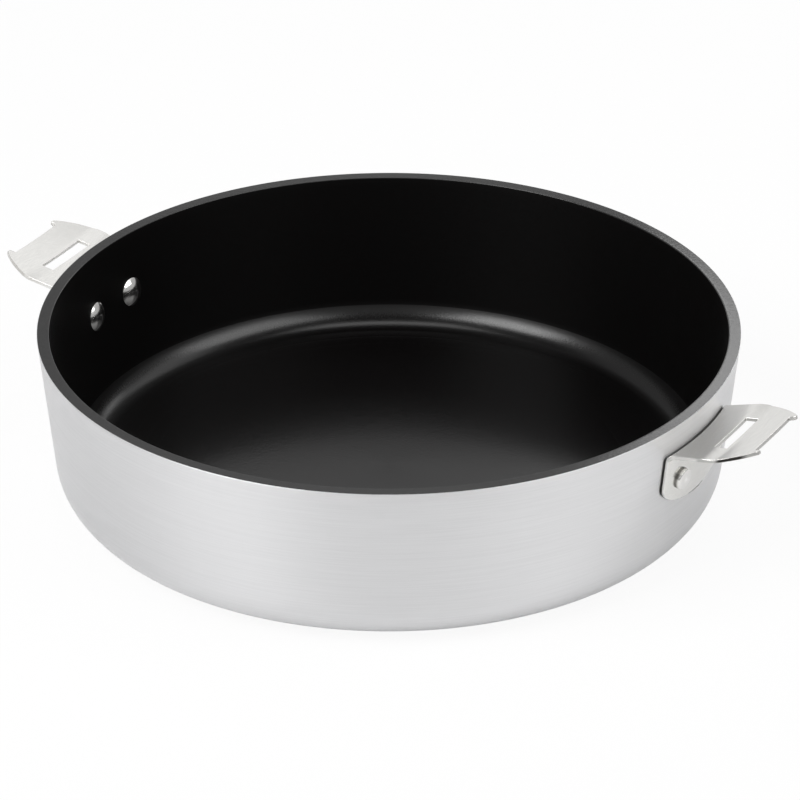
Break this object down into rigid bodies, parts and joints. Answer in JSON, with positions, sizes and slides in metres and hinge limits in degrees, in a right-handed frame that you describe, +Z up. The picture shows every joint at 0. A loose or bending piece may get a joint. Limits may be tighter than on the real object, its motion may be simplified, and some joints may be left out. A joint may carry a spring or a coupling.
{
  "type": "saute pan",
  "caption": "Round thick-walled saute pan with a dark non-stick lining over its inside and rim, and riveted slotted brackets that take clip-on handles.",
  "frame": {"origin": "on the floor under the middle of the pan, at the underside of the base disc", "axes": "+Z up through the middle of the pan, +X towards the right-hand bracket"},
  "size_m": [0.3442, 0.28, 0.0705],
  "materials": {
    "vessel": "satin, brushed around",
    "lining": "black non-stick coating, semi-gloss",
    "disc": "turned steel",
    "bracket": "smooth stainless sheet",
    "rivet": "polished stainless"
  },
  "bodies": {
    "root": {"pan_body": "vessel", "nonstick_lining": "lining", "base_disc": "disc", "handle_bracket_right": "bracket", "handle_bracket_left": "bracket", "rivet_right_front": "rivet", "rivet_right_back": "rivet", "rivet_left_front": "rivet", "rivet_left_back": "rivet"}
  },
  "joints": []
}
